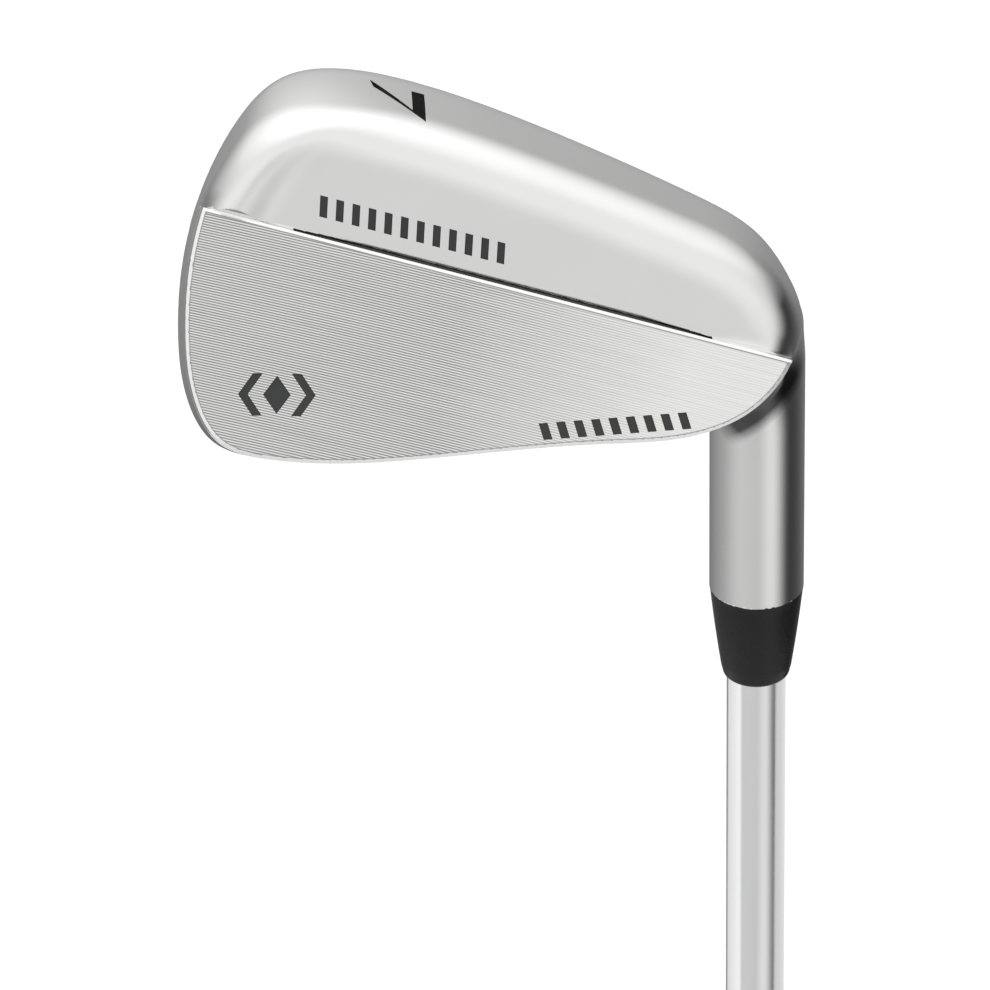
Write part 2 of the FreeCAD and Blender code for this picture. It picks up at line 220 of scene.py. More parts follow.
def make_fields():
    """Distance to the outline, to the same outline swept backward, and to the
    facet's edge."""
    plain = distance_table(spline(OUTLINE, True))
    rise = np.gradient(plain, TABLE_STEP, axis=1)
    swept = plain / np.sqrt(1 + (SWEEP * rise) ** 2)
    edge = spline(FACET_EDGE, False)
    loop = np.vstack([edge, [(-7.8, 50.0), (64.9, 58.0)]])
    fine = []
    for a, b in zip(loop, np.roll(loop, -1, axis=0)):
        count = max(1, int(np.linalg.norm(b - a) / 0.2))
        fine += [a + (b - a) * k / count for k in range(count)]
    facet = distance_table(np.array(fine))
    return (Field(plain, TABLE_LOW, TABLE_STEP), Field(swept, TABLE_LOW, TABLE_STEP),
            Field(facet, TABLE_LOW, TABLE_STEP))


PLAIN, SWEPT, FACET = make_fields()


def rounded_cut(a, b, r):
    """Where both are inside, with the edge between them rounded."""
    return (np.minimum(-r, np.maximum(a, b))
            + np.hypot(np.maximum(a + r, 0), np.maximum(b + r, 0)))


def soft_join(a, b, k):
    """Union of two fields with a smooth fillet of width k."""
    h = np.maximum(k - np.abs(a - b), 0) / k
    return np.minimum(a, b) - h * h * h * k / 6


def ease(x, low, high):
    s = np.clip((x - low) / (high - low), 0, 1)
    return s * s * (3 - 2 * s)


def rim_rise(u, v):
    """Height of the muscle's rim over the facet plane: a gentle fillet all
    round and a steeper wall at the toe."""
    x = np.maximum(FACET(u, v), 0)
    start = x * x / (x + 0.3)
    toe = ease(u, 47.0, 66.0)
    heel = ease(-u, -8.0, 6.0)
    reach = 0.8 + 1.4 * toe + 1.8 * heel
    fillet = RIM_SLOPE * reach * (1 - np.exp(-start / reach))
    return fillet + TOE_RISE * toe * ease(x, 0.9, 7.0)


RIDGE_COS = 1 / math.sqrt(1 + RIDGE_RISE ** 2)
BEVEL_COS, BEVEL_SIN = math.cos(BEVEL_ANGLE), math.sin(BEVEL_ANGLE)


def ridge_v(u):
    """Height v of the ridge between facet and plate."""
    return RIDGE_V + RIDGE_RISE * u


def groove_width(u):
    """Width of the step beside the plate; it runs out to a point at both ends."""
    return GROOVE_WIDTH - 0.8 * ease(np.abs(u - GROOVE_MIDDLE), *GROOVE_FADE)


def body(p):
    """Signed distance to the head, face frame millimetres."""
    u, v, w = p[:, 0], p[:, 1], p[:, 2]
    ridge = ridge_v(u)
    below = (ridge - v) * RIDGE_COS

    # The plate: a flat slab above the ridge, bevelled round its back.
    outline = PLAIN(u, v)
    blade = rounded_cut(outline, -w, TOPLINE_ROUND)
    blade = np.maximum(blade, w - BLADE_THICK)
    over = (w - BLADE_THICK) * BEVEL_COS
    blade = np.maximum(blade, (outline + PLATE_BEVEL) * BEVEL_SIN + over)
    core = np.maximum(blade, np.maximum(below + 0.3, w - CORE_BACK))
    blade = np.maximum(blade, below)
    blade = np.maximum(blade, (below + RIDGE_BEVEL) * BEVEL_SIN + over)

    # The muscle: the facet's sloping back, its rim and the cambered sole.
    sole = 1 - ease(v - SWEEP * w, 9.0, 24.0)
    lead = TOPLINE_ROUND + (LEAD_ROUND - TOPLINE_ROUND) * sole
    side = SWEPT(u, v - SWEEP * w) - 0.67 * (lead - TOPLINE_ROUND)
    side = side + CAMBER * sole * np.clip((w - 4.0) / 9.0, -0.6, 1.4) ** 2
    side = side + 0.2 * ease(-u, 0.0, 9.0)
    height = FACET_W + FACET_TILT * (ridge - v) + rim_rise(u, v)
    muscle = rounded_cut(side, -w, lead)
    trailed = rounded_cut(muscle, (w - height) * 0.9, TRAIL_ROUND)
    muscle = muscle + ease(w, 0.0, 2.5) * (trailed - muscle)
    muscle = np.maximum(muscle, -below - 3.0)
    muscle = np.maximum(muscle, np.minimum(-below + 0.45 * (w - 5.3), w - 5.0))

    # The narrow step between the two.
    groove = np.maximum(np.maximum(0.02 - below, GROOVE_FLOOR - w),
                        (below - groove_width(u) - 0.3 * (w - GROOVE_FLOOR)) * 0.958)

    # The hosel, blended into the two and bored from its end.
    rel = p - AXIS_FOOT
    along = rel @ GRIPWARD
    radial = np.linalg.norm(rel - np.maximum(along, HOSEL_FOOT)[:, None] * GRIPWARD, axis=1)
    tube = radial - HOSEL_R + FOOT_TAPER * ease(24.0 - along, 0.0, 10.0)
    solid = soft_join(core, muscle, 1e-6 + 2.5 * ease(-u, -4.0, 6.0) * ease(w, 0.5, 3.5))
    join = soft_join(tube, solid, NECK_BLEND + 3.0 * ease(along, 20.0, 30.0))
    crisp = np.maximum(np.minimum(blade, muscle), -groove)
    head = soft_join(join, crisp, 0.6)
    head = np.maximum(head, along - HOSEL_HEIGHT)
    bore = np.maximum(radial - BORE_R, HOSEL_HEIGHT - BORE_DEPTH - along)
    return np.maximum(head, -bore)


# Four directions that are enough to take a gradient.
TETRA = np.array([(1, -1, -1), (-1, -1, 1), (-1, 1, -1), (1, 1, 1)], float)


def in_parts(function, points, size=200000):
    return np.concatenate([function(points[i:i + size]) for i in range(0, len(points), size)])


def slope_of(points, reach=0.02):
    """Unit gradient of the head's distance field."""
    total = np.zeros_like(points)
    for corner in TETRA:
        total += corner * in_parts(body, points + corner * reach)[:, None]
    return total / np.maximum(np.linalg.norm(total, axis=1), 1e-12)[:, None]


# ------------------------------------------------------------------ contouring


def spaced(low, high, step, fine=()):
    """Grid lines from low to high, with finer steps inside some spans."""
    lines = [low]
    while lines[-1] < high:
        here = lines[-1]
        gap = step
        for start, end, small in fine:
            if start - 1e-6 <= here < end - 1e-6:
                gap = small
            elif here < start < here + gap * 1.2:
                gap = start - here
        lines.append(here + gap)
    return np.array(lines)


RIDGE_AXES = np.array([(RIDGE_COS, RIDGE_COS * RIDGE_RISE, 0.0),
                       (-RIDGE_COS * RIDGE_RISE, RIDGE_COS, 0.0), (0.0, 0.0, 1.0)])
RIDGE_START = np.array([0.0, RIDGE_V, 0.0])


def grid_to_face(points):
    return RIDGE_START + points @ RIDGE_AXES


def contour(axes, block=4):
    """Dual contour of body() on a grid of lines along the ridge, across it
    and out of the back.  Sharp edges come out sharp."""
    sizes = [len(a) for a in axes]
    marks = [np.arange(0, n, block) for n in sizes]
    mids = [0.5 * (a[m] + a[np.minimum(m + block, len(a) - 1)]) for a, m in zip(axes, marks)]
    halves = [0.5 * (a[np.minimum(m + block, len(a) - 1)] - a[m]) for a, m in zip(axes, marks)]
    centre = np.stack(np.meshgrid(*mids, indexing="ij"), -1).reshape(-1, 3)
    reach = np.linalg.norm(
        np.stack(np.meshgrid(*halves, indexing="ij"), -1).reshape(-1, 3), axis=1)
    rough = in_parts(body, grid_to_face(centre))
    near = (np.abs(rough) < 1.45 * reach + 0.3).reshape([len(m) for m in marks])
    rough = rough.reshape(near.shape)
    owner = [np.minimum(np.arange(n) // block, len(m) - 1) for n, m in zip(sizes, marks)]
    value = rough[np.ix_(*owner)].astype(float)
    active = near[np.ix_(*owner)]
    for axis in range(3):
        moved = np.roll(active, 1, axis)
        keep = np.arange(sizes[axis]) % block == 0
        shape = [1, 1, 1]
        shape[axis] = -1
        active = active | (moved & keep.reshape(shape))
    index = np.nonzero(active)
    nodes = np.stack([a[i] for a, i in zip(axes, index)], -1)
    value[index] = in_parts(body, grid_to_face(nodes))
    solid = value < 0

    cells_shape = [n - 1 for n in sizes]
    edge_points, edge_slopes, edge_cells, edge_flip = [], [], [], []
    for axis in range(3):
        low = [slice(None)] * 3
        high = [slice(None)] * 3
        low[axis] = slice(0, -1)
        high[axis] = slice(1, None)
        crossing = np.array(np.nonzero(solid[tuple(low)] != solid[tuple(high)]))
        one, two = [a for a in range(3) if a != axis]
        inner = ((crossing[one] > 0) & (crossing[one] < sizes[one] - 1)
                 & (crossing[two] > 0) & (crossing[two] < sizes[two] - 1))
        crossing = crossing[:, inner]
        start = np.stack([axes[a][crossing[a]] for a in range(3)], -1)
        end = start.copy()
        end[:, axis] = axes[axis][crossing[axis] + 1]
        flip = solid[tuple(crossing)]
        a, b = np.where(flip[:, None], start, end), np.where(flip[:, None], end, start)
        for _ in range(9):
            mid = 0.5 * (a + b)
            full = (in_parts(body, grid_to_face(mid)) < 0)[:, None]
            a = np.where(full, mid, a)
            b = np.where(full, b, mid)
        spot = 0.5 * (a + b)
        normal = slope_of(grid_to_face(spot)) @ RIDGE_AXES.T
        one, two = (axis + 1) % 3, (axis + 2) % 3
        ring = []
        for step_one, step_two in ((-1, -1), (0, -1), (0, 0), (-1, 0)):
            cell = crossing.copy()
            cell[one] += step_one
            cell[two] += step_two
            ring.append(np.ravel_multi_index(cell, cells_shape))
        edge_points.append(spot)
        edge_slopes.append(normal)
        edge_cells.append(np.array(ring).T)
        edge_flip.append(flip)
    spots = np.vstack(edge_points)
    normals = np.vstack(edge_slopes)
    rings = np.vstack(edge_cells)
    flips = np.concatenate(edge_flip)

    ids, compact = np.unique(rings, return_inverse=True)
    compact = compact.reshape(rings.shape)
    count = len(ids)
    who = compact.ravel()
    point4 = np.repeat(spots, 4, axis=0)
    normal4 = np.repeat(normals, 4, axis=0)
    number = np.bincount(who, minlength=count)
    middle = np.stack([np.bincount(who, point4[:, k], count) for k in range(3)], -1)
    middle /= number[:, None]
    offset = ((point4 - middle[who]) * normal4).sum(1)
    system = np.zeros((count, 3, 3))
    right = np.zeros((count, 3))
    for r in range(3):
        right[:, r] = np.bincount(who, normal4[:, r] * offset, count)
        for c in range(3):
            system[:, r, c] = np.bincount(who, normal4[:, r] * normal4[:, c], count)
    system += np.eye(3) * 0.012 * number[:, None, None]
    shift = np.linalg.solve(system, right[:, :, None])[:, :, 0]
    cell = np.array(np.unravel_index(ids, cells_shape))
    low = np.stack([axes[a][cell[a]] for a in range(3)], -1)
    high = np.stack([axes[a][cell[a] + 1] for a in range(3)], -1)
    vertices = np.clip(middle + shift, low, high)
    quads = np.where(flips[:, None], compact, compact[:, ::-1])
    return grid_to_face(vertices), quads


def placed(name, mesh):
    thing = bpy.data.objects.new(name, mesh)
    bpy.context.scene.collection.objects.link(thing)
    return thing


def mesh_object(name, vertices, faces):
    """New object from row-frame metres."""
    mesh = bpy.data.meshes.new(name)
    mesh.from_pydata([tuple(v) for v in vertices], [], [tuple(f) for f in faces])
    mesh.update()
    return placed(name, mesh)


def face_outward(mesh):
    """Turn every face of a closed mesh outward."""
    check = bmesh.new()
    check.from_mesh(mesh)
    bmesh.ops.recalc_face_normals(check, faces=list(check.faces))
    check.to_mesh(mesh)
    check.free()


def fast_mesh(name, vertices, quads):
    """New object from many row-frame vertices and an array of quads."""
    mesh = bpy.data.meshes.new(name)
    mesh.vertices.add(len(vertices))
    mesh.vertices.foreach_set("co", np.ascontiguousarray(vertices, np.float32).ravel())
    mesh.loops.add(quads.size)
    mesh.loops.foreach_set("vertex_index", np.ascontiguousarray(quads, np.int32).ravel())
    mesh.polygons.add(len(quads))
    mesh.polygons.foreach_set("loop_start", np.arange(0, quads.size, 4, dtype=np.int32))
    mesh.update(calc_edges=True)
    mesh.validate()
    return placed(name, mesh)


# ------------------------------------------------------------------- the marks


def set_out(shape, origin, slope):
    """A small outline moved to origin, its x axis turned to the slope."""
    size = math.hypot(1, slope)
    run = np.array([1, slope]) / size
    rise = np.array([-run[1], run[0]])
    return [np.array(origin) + run * x + rise * y for x, y in shape]


def slanted_bar(width, height, lean):
    """Outline of one leaning bar, its foot at the origin."""
    return [(0, 0), (width, 0), (width - lean, height), (-lean, height)]


FACET_BARS = {"count": 12, "start": 33.6, "pitch": 2.38, "below": 5.8}
PLATE_BARS = {"count": 9, "start": (-0.7, 32.0), "pitch": (2.27, 1.151), "slope": 0.507}
EMBLEM = {"place": (55.2, 52.7), "slope": 0.40}
PLATE_MARK_DEPTH = 0.45
NUMBER_DEPTH = 0.7


def mark_outlines():
    """Outlines as (name, points in the face frame, cutting direction, depth)."""
    outward = np.array([0.0, 0.0, 1.0])
    number = [(59.9, 6.3), (59.3, 8.0), (51.3, 12.9), (51.9, 6.1), (53.8, 6.3), (53.4, 11.1)]
    number = [np.array([u, 0, 0]) + BACKWARD * b for u, b in number]
    marks = [("number", [number], -UPWARD, NUMBER_DEPTH)]
    bars = []
    for i in range(FACET_BARS["count"]):
        u = FACET_BARS["start"] + FACET_BARS["pitch"] * i
        origin = (u, ridge_v(u) - FACET_BARS["below"])
        bars.append(set_out(slanted_bar(1.15, 2.9, 0.9), origin, RIDGE_RISE))
    marks.append(("facet", bars, outward, PLATE_MARK_DEPTH))
    diamond = [(-2.0, 0), (0, -2.7), (2.0, 0), (0, 2.7)]
    right = [(5.6, 0), (3.5, 3.0), (2.1, 3.0), (4.2, 0), (2.1, -3.0), (3.5, -3.0)]
    left = [(-x, -y) for x, y in right]
    emblem = [set_out(shape, EMBLEM["place"], EMBLEM["slope"])
              for shape in (diamond, right, left)]
    marks.append(("emblem", emblem, outward, PLATE_MARK_DEPTH))
    short = []
    for i in range(PLATE_BARS["count"]):
        origin = [a + b * i for a, b in zip(PLATE_BARS["start"], PLATE_BARS["pitch"])]
        short.append(set_out(slanted_bar(1.3, 2.4, 0.6), origin, PLATE_BARS["slope"]))
    marks.append(("bar", short, outward, PLATE_MARK_DEPTH))
    return marks


def land_on(points, direction, reach=24.0, step=0.25):
    """Where lines along direction meet the head's outside, face frame."""
    far = points + direction * reach
    for _ in range(160):
        outside = in_parts(body, far) > 0
        far = far - direction * step * outside[:, None]
    low, high = far, far + direction * step
    for _ in range(14):
        mid = 0.5 * (low + high)
        full = (in_parts(body, mid) < 0)[:, None]
        low = np.where(full, mid, low)
        high = np.where(full, high, mid)
    return 0.5 * (low + high)


def patch(outline, direction, size=0.45):
    """Triangles over an outline, laid on the head."""
    grown = bmesh.new()
    corners = [np.append(p, 0.0) if len(p) == 2 else p for p in outline]
    face = grown.faces.new([grown.verts.new(c) for c in corners])
    face.normal_update()
    if face.normal.dot(Vector(direction)) < 0:
        face.normal_flip()
    bmesh.ops.triangulate(grown, faces=list(grown.faces))
    for _ in range(5):
        wide = [e for e in grown.edges if e.calc_length() > size]
        if not wide:
            break
        bmesh.ops.subdivide_edges(grown, edges=wide, cuts=1)
        bmesh.ops.triangulate(grown, faces=list(grown.faces))
    grown.verts.index_update()
    points = np.array([v.co for v in grown.verts])
    faces = [[v.index for v in f.verts] for f in grown.faces]
    grown.free()
    return land_on(points, direction), faces


def slab(points, faces, direction, low, high):
    """Closed solid between two levels over a patch."""
    n = len(points)
    vertices = np.vstack([points + direction * low, points + direction * high])
    edges = {}
    for f in faces:
        for a, b in zip(f, f[1:] + f[:1]):
            edges[(a, b)] = True
    walls = [(a, b, b + n, a + n) for a, b in edges if (b, a) not in edges]
    solids = [tuple(reversed(f)) for f in faces] + walls
    solids += [tuple(i + n for i in f) for f in faces]
    return vertices, solids


def join_parts(parts):
    """Several (vertices, faces) as one."""
    vertices, faces, base = [], [], 0
    for part_vertices, part_faces in parts:
        vertices.append(part_vertices)
        faces += [tuple(i + base for i in f) for f in part_faces]
        base += len(part_vertices)
    return np.vstack(vertices), faces


# Thickness of the paint in a mark, and the scorelines on the striking face.
FILL = 0.25
SCORE = {"pitch": 3.6, "count": 12, "width": 0.8, "depth": 0.4, "first": 7.9,
         "heel": 15.0, "toe": 64.4}


def score_cutters():
    """Bars that cut the scorelines, each narrower at its bottom."""
    parts = []
    for i in range(SCORE["count"]):
        v = SCORE["first"] + i * SCORE["pitch"]
        heel = max(SCORE["heel"], -3.0 + (v - 34.7) * 2.03 + 7.0)
        half = SCORE["width"] / 2
        ring = [(v - half, -1.0), (v - half, 0.16), (v - 0.5 * half, SCORE["depth"]),
                (v + 0.5 * half, SCORE["depth"]), (v + half, 0.16), (v + half, -1.0)]
        n = len(ring)
        vertices = np.array([(u, a, b) for u in (heel, SCORE["toe"]) for a, b in ring])
        faces = [tuple(range(n))[::-1], tuple(range(n, 2 * n))]
        faces += [(k, (k + 1) % n, (k + 1) % n + n, k + n) for k in range(n)]
        parts.append((vertices, faces))
    return join_parts(parts)


def cut(target, vertices, faces):
    """Boolean difference of a closed cutter given in the face frame."""
    tool = mesh_object("cutter", to_row(vertices), faces)
    face_outward(tool.data)
    change = target.modifiers.new("cut", "BOOLEAN")
    change.operation = "DIFFERENCE"
    change.solver = "EXACT"
    change.object = tool
    graph = bpy.context.evaluated_depsgraph_get()
    made = bpy.data.meshes.new_from_object(target.evaluated_get(graph))
    target.modifiers.remove(change)
    old = target.data
    target.data = made
    bpy.data.meshes.remove(old)
    bpy.data.objects.remove(tool)


def shade_head(thing):
    """Corner normals from the distance field, and the plate's own material."""
    mesh = thing.data
    count = len(mesh.vertices)
    points = np.empty(count * 3)
    mesh.vertices.foreach_get("co", points)
    face_points = (points.reshape(-1, 3) / MM - ORIGIN) @ FACE_AXES.T
    corner = np.empty(len(mesh.loops), int)
    mesh.loops.foreach_get("vertex_index", corner)
    faces = len(mesh.polygons)
    starts = np.empty(faces, int)
    totals = np.empty(faces, int)
    flat = np.empty(faces * 3)
    mesh.polygons.foreach_get("loop_start", starts)
    mesh.polygons.foreach_get("loop_total", totals)
    mesh.polygons.foreach_get("normal", flat)
    flat = flat.reshape(-1, 3) @ FACE_AXES.T
    owner = np.repeat(np.arange(faces), totals)
    centre = np.add.reduceat(face_points[corner], starts) / totals[:, None]
    here = face_points[corner]
    inner = here + 0.3 * (centre[owner] - here)
    smooth = slope_of(face_points)[corner]
    local = slope_of(inner)
    level = np.abs(in_parts(body, face_points))[corner]
    flat = flat[owner]
    # Across a sharp edge the normal comes from inside the face.
    normal = np.where(((smooth * local).sum(1) > 0.992)[:, None], smooth, local)
    # On the calm stretches of the muscle it is an average over a millimetre.
    broad = slope_of(face_points, 1.0)[corner]
    clear = (ridge_v(here[:, 0]) - here[:, 1]) * RIDGE_COS
    calm = (ease((broad * normal).sum(1), 0.97, 0.99) * ease(clear, 1.5, 3.5)
            * ease(here[:, 2], 1.0, 3.0))
    normal = normal + calm[:, None] * (broad - normal)
    normal = normal / np.linalg.norm(normal, axis=1)[:, None]
    # Cut walls aren't on the field, and keep their flat normal.
    stray = (level > 0.03) | ((normal * flat).sum(1) < 0.86)
    normal = np.where(stray[:, None], flat, normal)
    mesh.polygons.foreach_set("use_smooth", np.ones(faces, bool))
    mesh.normals_split_custom_set((normal @ FACE_AXES).tolist())
    below = (ridge_v(centre[:, 0]) - centre[:, 1]) * RIDGE_COS
    on_plate = (np.abs(centre[:, 2] - BLADE_THICK) < 0.02) & (below < -0.1)
    in_groove = ((below > 0.0) & (below < groove_width(centre[:, 0]) + 0.35)
                 & (centre[:, 2] < BLADE_THICK - 0.3) & (centre[:, 2] > GROOVE_FLOOR - 0.1)
                 & (groove_width(centre[:, 0]) > -0.1))
    mesh.polygons.foreach_set("material_index", (on_plate + 2 * in_groove).astype(np.int32))
    rim = mesh.attributes.new("rim", "FLOAT", "POINT")
    u, v = face_points[:, 0], face_points[:, 1]
    inside = np.minimum(-PLAIN(u, v) - PLATE_BEVEL,
                        (v - ridge_v(u)) * RIDGE_COS - RIDGE_BEVEL)
    rim.data.foreach_set("value", inside.astype(np.float32))
    mesh.update()


# ------------------------------------------------------------------- materials


def add(tree, kind, inputs=None, **settings):
    node = tree.nodes.new(kind)
    for key, value in settings.items():
        setattr(node, key, value)
    for key, value in (inputs or {}).items():
        if hasattr(value, "is_output"):
            tree.links.new(value, node.inputs[key])
        else:
            node.inputs[key].default_value = value
    return node


def math_node(tree, operation, a, b=0.0):
    return add(tree, "ShaderNodeMath", {0: a, 1: b}, operation=operation).outputs[0]


def vector_node(tree, operation, a, b, out="Value"):
    return add(tree, "ShaderNodeVectorMath", {0: a, 1: b}, operation=operation).outputs[out]


def ranged(tree, value, low, high, to_low, to_high):
    return add(tree, "ShaderNodeMapRange",
               {"Value": value, "From Min": low, "From Max": high,
                "To Min": to_low, "To Max": to_high}).outputs["Result"]


def mixed(tree, factor, first, second):
    """Colour between two others, each a socket or a plain (r, g, b)."""
    mix = add(tree, "ShaderNodeMix", data_type="RGBA")
    tree.links.new(factor, mix.inputs["Factor"])
    for name, colour in (("A", first), ("B", second)):
        if hasattr(colour, "is_output"):
            tree.links.new(colour, mix.inputs[name])
        else:
            mix.inputs[name].default_value = (*colour, 1)
    return mix.outputs["Result"]


def noise(tree, vector, scale, detail=3.0, roughness=0.5):
    return add(tree, "ShaderNodeTexNoise",
               {"Vector": vector, "Scale": scale, "Detail": detail,
                "Roughness": roughness}).outputs["Fac"]


def begin(name, metallic=0.0):
    """A new material, its node tree, and the place on the object."""
    material = bpy.data.materials.new(name)
    material.use_nodes = True
    tree = material.node_tree
    tree.nodes["Principled BSDF"].inputs["Metallic"].default_value = metallic
    return material, tree, add(tree, "ShaderNodeTexCoord").outputs["Object"]


def dress(tree, colour, roughness, height, strength, distance):
    """Give a material's shader its colour, its roughness and a bump."""
    shader = tree.nodes["Principled BSDF"]
    relief = add(tree, "ShaderNodeBump",
                 {"Height": height, "Strength": strength, "Distance": distance})
    tree.links.new(colour, shader.inputs["Base Color"])
    tree.links.new(roughness, shader.inputs["Roughness"])
    tree.links.new(relief.outputs["Normal"], shader.inputs["Normal"])


def stretched(tree, vector, scale):
    return add(tree, "ShaderNodeMapping", {"Vector": vector, "Scale": scale}).outputs["Vector"]


# Middle of the crease between hosel and plate, where the painted dark reflection is centred, row
# frame metres.
PAINTED_REFLECTION_CENTRE = (0.001, -0.0068, 0.9128)


def from_ridge(tree, where):
    """Place measured from the start of the ridge, row frame metres."""
    return vector_node(tree, "SUBTRACT", where, tuple(to_row([RIDGE_START])[0]), "Vector")


def satin_steel():
    """Brushed satin steel, with a painted dark reflection in the tight crease
    where the hosel runs in under the plate."""
    material, tree, where = begin("satin_steel", 1.0)
    cloud = noise(tree, where, 60.0, 4.0)
    grain = noise(tree, where, 4200.0, 2.0, 0.6)
    colour = mixed(tree, cloud, (0.775, 0.775, 0.77), (0.835, 0.835, 0.83))
    rim = add(tree, "ShaderNodeAttribute", attribute_name="rim").outputs["Fac"]
    away = vector_node(tree, "DISTANCE", where, PAINTED_REFLECTION_CENTRE)
    # Painted dark reflection: near black a few millimetres outside the plate's edge, round the
    # middle of the crease.
    painted_reflection = math_node(tree, "MULTIPLY", ranged(tree, rim, -1.3, -0.5, 1.0, 0.0),
                       ranged(tree, rim, -5.9, -4.1, 0.0, 1.0))
    painted_reflection = math_node(tree, "MULTIPLY", painted_reflection,
                       ranged(tree, away, 0.0062, 0.0095, 1.0, 0.0))
    colour = mixed(tree, painted_reflection, colour, (0.10, 0.10, 0.10))
    rough = math_node(tree, "ADD", ranged(tree, cloud, 0.3, 0.7, 0.112, 0.140),
                      ranged(tree, grain, 0.3, 0.7, -0.015, 0.015))
    dress(tree, colour, rough, grain, 0.12, 0.00003)
    return material


# Metres between cutter lines, and how strongly they bow.
MILL_PITCH = 0.00036
MILL_BEND = 0.35


def milled_steel():
    """Plate steel with fine cutter lines that bow towards the toe, and a
    painted shade line just inside the bevel."""
    material, tree, where = begin("milled_steel", 1.0)
    rel = from_ridge(tree, where)
    a = vector_node(tree, "DOT_PRODUCT", rel, tuple(turn_to_row(RIDGE_AXES[0])))
    b = vector_node(tree, "DOT_PRODUCT", rel, tuple(turn_to_row(RIDGE_AXES[1])))
    past = math_node(tree, "MAXIMUM", math_node(tree, "SUBTRACT", a, 0.03), 0.0)
    bow = math_node(tree, "MULTIPLY", math_node(tree, "MULTIPLY", past, past), MILL_BEND)
    across = math_node(tree, "SUBTRACT", b, bow)
    phase = math_node(tree, "MULTIPLY", across, 2 * math.pi / MILL_PITCH)
    wave = ranged(tree, math_node(tree, "SINE", phase), -1.0, 1.0, 0.0, 1.0)
    lane = add(tree, "ShaderNodeCombineXYZ",
               {"X": math_node(tree, "MULTIPLY", a, 45.0),
                "Y": math_node(tree, "MULTIPLY", across, 2600.0)}).outputs["Vector"]
    streak = noise(tree, lane, 1.0, 2.0)
    cloud = noise(tree, where, 45.0, 3.0)
    keep = ranged(tree, a, 0.002, 0.036, 0.18, 1.0)
    lines = math_node(tree, "MULTIPLY", wave, keep)
    shade = math_node(tree, "ADD", math_node(tree, "MULTIPLY", lines, 0.85),
                      math_node(tree, "MULTIPLY", streak, 0.22))
    colour = mixed(tree, ranged(tree, shade, 0.05, 0.95, 0.0, 1.0), (0.86, 0.86, 0.85),
                   (0.22, 0.22, 0.217))
    # Painted shade: a dark line just inside the plate's bevel.
    rim = add(tree, "ShaderNodeAttribute", attribute_name="rim").outputs["Fac"]
    painted_shade_line = mixed(tree, ranged(tree, rim, 0.05, 0.22, 0.0, 1.0), (0.30, 0.30, 0.295), colour)
    rough = ranged(tree, cloud, 0.3, 0.7, 0.30, 0.36)
    height = math_node(tree, "ADD", lines, math_node(tree, "MULTIPLY", streak, 0.4))
    dress(tree, painted_shade_line, rough, height, 0.35, 0.00002)
    return material


def groove_steel():
    """Steel of the narrow step beside the plate, with painted shade along its foot."""
    material, tree, where = begin("groove_steel", 1.0)
    b = vector_node(tree, "DOT_PRODUCT", from_ridge(tree, where),
                    tuple(turn_to_row(-RIDGE_AXES[1])))
    grain = noise(tree, where, 900.0, 2.0)
    edge = math_node(tree, "ADD", b, ranged(tree, grain, 0.3, 0.7, -0.00004, 0.00004))
    # Painted shade: the step goes dark along its foot beside the plate.
    foot = ranged(tree, edge, 0.00046, 0.00056, 0.0, 1.0)
    dress(tree, mixed(tree, foot, (0.07, 0.07, 0.07), (0.62, 0.62, 0.615)),
          ranged(tree, grain, 0.3, 0.7, 0.22, 0.30), grain, 0.1, 0.00002)
    return material


def plating():
    """Bright shaft chrome with faint lengthwise polishing."""
    material, tree, where = begin("shaft_plating", 1.0)
    streak = noise(tree, stretched(tree, where, (900.0, 900.0, 30.0)), 1.0, 3.0)
    cloud = noise(tree, where, 18.0, 3.0)
    rough = math_node(tree, "ADD", ranged(tree, streak, 0.3, 0.7, 0.18, 0.24),
                      ranged(tree, cloud, 0.3, 0.7, -0.015, 0.02))
    dress(tree, mixed(tree, streak, (0.80, 0.80, 0.81), (0.88, 0.88, 0.885)), rough,
          streak, 0.05, 0.00002)
    return material


def moulded(name, dark, light, rough, scale=900.0, depth=0.00004, strength=0.3, shine=0.5):
    """Rubber, plastic, paint or glue: cloudy colour and a fine grain."""
    material, tree, where = begin(name)
    tree.nodes["Principled BSDF"].inputs["Specular IOR Level"].default_value = shine
    cloud = noise(tree, where, 70.0, 4.0)
    grain = noise(tree, where, scale, 3.0, 0.6)
    worn = math_node(tree, "ADD", ranged(tree, cloud, 0.3, 0.7, rough - 0.04, rough + 0.04),
                     ranged(tree, grain, 0.3, 0.7, -0.03, 0.03))
    dress(tree, mixed(tree, cloud, dark, light), worn, grain, strength, depth)
    return material


def turned_brass():
    """Brass with turning marks round the pin."""
    material, tree, where = begin("turned_brass", 1.0)
    rings = noise(tree, stretched(tree, where, (40.0, 40.0, 3000.0)), 1.0, 2.0)
    dress(tree, mixed(tree, rings, (0.62, 0.45, 0.18), (0.78, 0.60, 0.30)),
          ranged(tree, rings, 0.3, 0.7, 0.25, 0.38), rings, 0.2, 0.00003)
    return material


def woven_tape():
    """Cloth tape with its fibres along the shaft."""
    material, tree, where = begin("woven_tape")
    fibre = noise(tree, stretched(tree, where, (3000.0, 3000.0, 350.0)), 1.0, 3.0)
    dress(tree, mixed(tree, fibre, (0.62, 0.56, 0.42), (0.80, 0.75, 0.60)),
          ranged(tree, fibre, 0.3, 0.7, 0.75, 0.9), fibre, 0.4, 0.00005)
    return material


